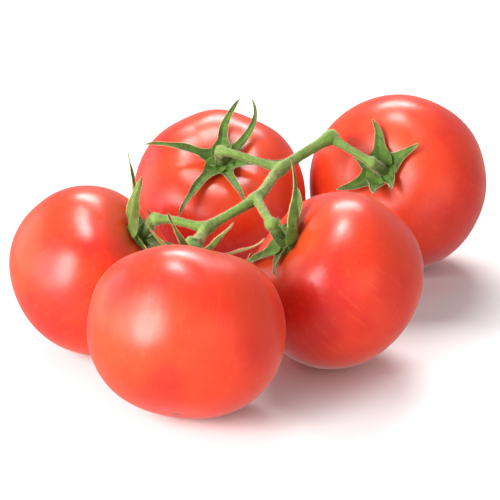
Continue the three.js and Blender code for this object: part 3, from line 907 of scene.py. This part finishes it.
def green_rod(look, name, main):
    """Green of stem, stalks and cups: patches, fine pale fuzz, and each shape's tints, among
    them painted shade on every rod's underside and hairs tinted partly with painted glow.
    """
    s = Shader(name)
    patches = s.ramp(s.noise(scale=260), 0.35, 0.68)
    colour = s.mix(patches, tuple(main), darker(main, ROD_PATCHES))
    fine = s.ramp(s.noise(scale=1500, detail=4, roughness=0.7), 0.5, 0.72, end=0.22)
    colour = s.mix(fine, colour, tuple(look.pale_fuzz_and_glow))
    # shading carries the darker green below each knuckle and towards a cup's middle, and painted
    # shade on every rod's underside; fuzz gives the hairs their pale colour with painted glow.
    for tint, tinted in (("shading", look.shade), ("paleness", look.pale),
                         ("dryness", look.cream), ("fuzz", look.hair_and_glow)):
        colour = s.mix(s.tint(tint), colour, tuple(tinted))
    s.set(Base_Color=colour, Roughness=0.62, Specular_IOR_Level=0.25,
          Subsurface_Weight=0.15, Subsurface_Scale=ROD_DEPTH, Subsurface_Radius=GREEN_SCATTER,
          Sheen_Weight=0.35, Sheen_Roughness=0.3, Sheen_Tint=GREEN_BLOOM)
    s.bump(s.noise(scale=2600, detail=4, roughness=0.7), distance=0.18 * MM, strength=0.6)
    return s.material


def green_sepal(look):
    """Leaf green with a pale rib, pale edges that are partly hairs and partly painted glow,
    withered where told, and a dry brown tip.
    """
    s = Shader("hairy_sepal")
    patches = s.ramp(s.noise(scale=330), 0.35, 0.68)
    colour = s.mix(patches, tuple(look.leaf), darker(look.leaf, SEPAL_PATCHES))
    rib = s.ramp(s.tint("rimness"), 0.24, 0.02, end=0.35)
    colour = s.mix(rib, colour, tuple(look.stem))
    fine = s.ramp(s.noise(scale=1600, detail=4, roughness=0.7), 0.52, 0.75, end=0.2)
    colour = s.mix(fine, colour, tuple(look.pale_fuzz_and_glow))
    # Painted glow: the thin edges turn pale orange, partly the colour of their pale hairs and
    # partly the glow of backlit hairs lit red by the fruit.
    pale_fuzz_and_glow = s.ramp(s.tint("rimness"), 0.90, 1.0, end=0.6)
    colour = s.mix(pale_fuzz_and_glow, colour, tuple(look.pale_fuzz_and_glow))
    colour = s.mix(s.tint("withered"), colour, tuple(look.cream))
    tip = s.ramp(s.tint("along"), 0.84, 0.99, end=0.8)
    colour = s.mix(tip, colour, tuple(look.dry))
    # Hairs take the hair colour: their own pale colour with a painted orange glow.
    colour = s.mix(s.tint("fuzz"), colour, tuple(look.hair_and_glow))
    s.set(Base_Color=colour, Roughness=0.6, Specular_IOR_Level=0.2,
          Subsurface_Weight=0.15, Subsurface_Scale=SEPAL_DEPTH, Subsurface_Radius=GREEN_SCATTER,
          Sheen_Weight=0.2, Sheen_Roughness=0.3, Sheen_Tint=GREEN_BLOOM)
    s.bump(s.noise(scale=2400, detail=4, roughness=0.7), distance=0.15 * MM, strength=0.6)
    return s.material


def shared(name, make):
    """A material made once and shared by the pieces that have it."""
    return bpy.data.materials.get(name) or make()


# ---- studio ----
def soft_box(name, way, distance, width, height, power):
    """An oval softbox that shines on the middle of the bunch."""
    data = bpy.data.lights.new(name, "AREA")
    data.shape, data.size, data.size_y, data.energy = "ELLIPSE", width, height, power
    light = bpy.data.objects.new(name, data)
    way = Vector(way).normalized()
    light.location = Vector(AIM) + way * distance
    light.rotation_mode = "QUATERNION"
    light.rotation_quaternion = (-way).to_track_quat("-Z", "Y")
    light.visible_diffuse = name not in GLEAM_ONLY
    bpy.context.collection.objects.link(light)


def build_table(look):
    """A wide pale table that takes shadows and isn't mirrored in the skins."""
    s = Shader("pale_table")
    faint = s.ramp(s.noise(scale=14), 0.3, 0.7)
    white = s.mix(faint, tuple(look.table), darker(look.table, 0.985))
    s.set(Base_Color=white, Roughness=0.7, Specular_IOR_Level=0.2)
    corners = [(x * TABLE_SIDE, y * TABLE_SIDE, TABLE_LEVEL)
               for x, y in ((-1, -1), (1, -1), (1, 1), (-1, 1))]
    table = make_piece("table_top", corners, [(0, 1, 2, 3)], smooth=False)
    table.data.materials.append(s.material)
    table.visible_glossy = False


def build_camera(look):
    """The camera, out past the front end of the bunch and a little above it."""
    data = bpy.data.cameras.new("camera")
    data.lens, data.sensor_width = look.lens, 36
    data.clip_start, data.clip_end = 0.02, 20
    camera = bpy.data.objects.new("camera", data)
    camera.location = CAMERA_PLACE
    bearing, drop = math.radians(CAMERA_BEARING), math.radians(CAMERA_DROP)
    ahead = Vector((math.cos(drop) * math.cos(bearing),
                    math.cos(drop) * math.sin(bearing), -math.sin(drop)))
    camera.rotation_mode = "QUATERNION"
    camera.rotation_quaternion = ahead.to_track_quat("-Z", "Y")
    bpy.context.collection.objects.link(camera)
    bpy.context.scene.camera = camera


def build_room(look):
    """An even white room round the bunch."""
    world = bpy.data.worlds.new("white_room")
    bpy.context.scene.world = world
    world.use_nodes = True
    ground = world.node_tree.nodes["Background"]
    ground.inputs["Color"].default_value = (1, 1, 1, 1)
    ground.inputs["Strength"].default_value = look.surround


# ---- operators ----
class TRUSS_OT_tomatoes(bpy.types.Operator):
    """Builds the five tomatoes"""
    bl_idname = "truss.tomatoes"
    bl_label = "Tomatoes"

    def execute(self, context):
        look = context.scene.truss_tomato
        skin = shared("waxy_tomato_skin", lambda: tomato_skin(look))
        for name in FRUITS:
            hand_over(build_tomato(name, look), f"tomato_{name}", skin)
        return {"FINISHED"}


class TRUSS_OT_stem(bpy.types.Operator):
    """Builds the truss stem that carries every stalk"""
    bl_idname = "truss.stem"
    bl_label = "Truss stem"

    def execute(self, context):
        look = context.scene.truss_green
        green = shared("pale_stem", lambda: green_rod(look, "pale_stem", look.stem))
        hand_over(build_stem(look), "truss_stem", green)
        return {"FINISHED"}


class TRUSS_OT_stalks(bpy.types.Operator):
    """Builds the knuckled stalk of each tomato"""
    bl_idname = "truss.stalks"
    bl_label = "Stalks"

    def execute(self, context):
        look = context.scene.truss_green
        main = darker(look.stem, STALK_SHADE)
        green = shared("knuckled_stalk", lambda: green_rod(look, "knuckled_stalk", main))
        for name in STALKS:
            hand_over(build_stalk(name, look), f"stalk_{name}", green)
        return {"FINISHED"}


class TRUSS_OT_cups(bpy.types.Operator):
    """Builds the small boss in the middle of each calyx"""
    bl_idname = "truss.cups"
    bl_label = "Calyx bosses"

    def execute(self, context):
        look = context.scene.truss_green
        green = shared("calyx_boss", lambda: green_rod(look, "calyx_boss", look.leaf))
        for name in FRUITS:
            hand_over(build_cup(name, look), f"calyx_{name}", green)
        return {"FINISHED"}


class TRUSS_OT_sepals(bpy.types.Operator):
    """Builds the pointed sepals round each stalk"""
    bl_idname = "truss.sepals"
    bl_label = "Sepals"

    def execute(self, context):
        look = context.scene.truss_green
        green = shared("hairy_sepal", lambda: green_sepal(look))
        for name, shapes in SEPALS.items():
            for index in range(len(shapes)):
                piece = build_sepal(name, index, look)
                hand_over(piece, f"sepal_{name}_{index + 1}", green)
        return {"FINISHED"}


class TRUSS_OT_studio(bpy.types.Operator):
    """Lays the table and sets the softboxes and the camera"""
    bl_idname = "truss.studio"
    bl_label = "Studio"

    def execute(self, context):
        look = context.scene.truss_studio
        build_table(look)
        build_room(look)
        for name, (way, distance, width, height, power) in SOFT_BOXES.items():
            soft_box(name, way, distance, width, height, getattr(look, power))
        build_camera(look)
        context.scene.view_settings.view_transform = "Standard"
        return {"FINISHED"}


class TRUSS_PT_panel(bpy.types.Panel):
    """Lists the steps that build the bunch"""
    bl_label = "Truss of Tomatoes"
    bl_idname = "TRUSS_PT_panel"
    bl_space_type = "VIEW_3D"
    bl_region_type = "UI"
    bl_category = "Truss"

    def draw(self, context):
        for step in STEPS:
            self.layout.operator(step.bl_idname)
        for group in ("truss_tomato", "truss_green", "truss_studio"):
            look = getattr(context.scene, group)
            box = self.layout.box()
            for key in look.__annotations__:
                box.prop(look, key)


LOOKS = {"truss_tomato": TomatoLook, "truss_green": GreenLook, "truss_studio": StudioLook}
STEPS = (TRUSS_OT_tomatoes, TRUSS_OT_stem, TRUSS_OT_stalks, TRUSS_OT_cups,
         TRUSS_OT_sepals, TRUSS_OT_studio)


def register():
    """Adds the settings, the steps and the panel."""
    for cls in (*LOOKS.values(), *STEPS, TRUSS_PT_panel):
        bpy.utils.register_class(cls)
    for key, cls in LOOKS.items():
        setattr(bpy.types.Scene, key, PointerProperty(type=cls))


def unregister():
    """Takes them all away again."""
    for key in LOOKS:
        delattr(bpy.types.Scene, key)
    for cls in reversed((*LOOKS.values(), *STEPS, TRUSS_PT_panel)):
        bpy.utils.unregister_class(cls)


def main():
    """Runs every step in order."""
    register()
    for step in STEPS:
        group, action = step.bl_idname.split(".")
        getattr(getattr(bpy.ops, group), action)()
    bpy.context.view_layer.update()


if __name__ == "__main__":
    main()
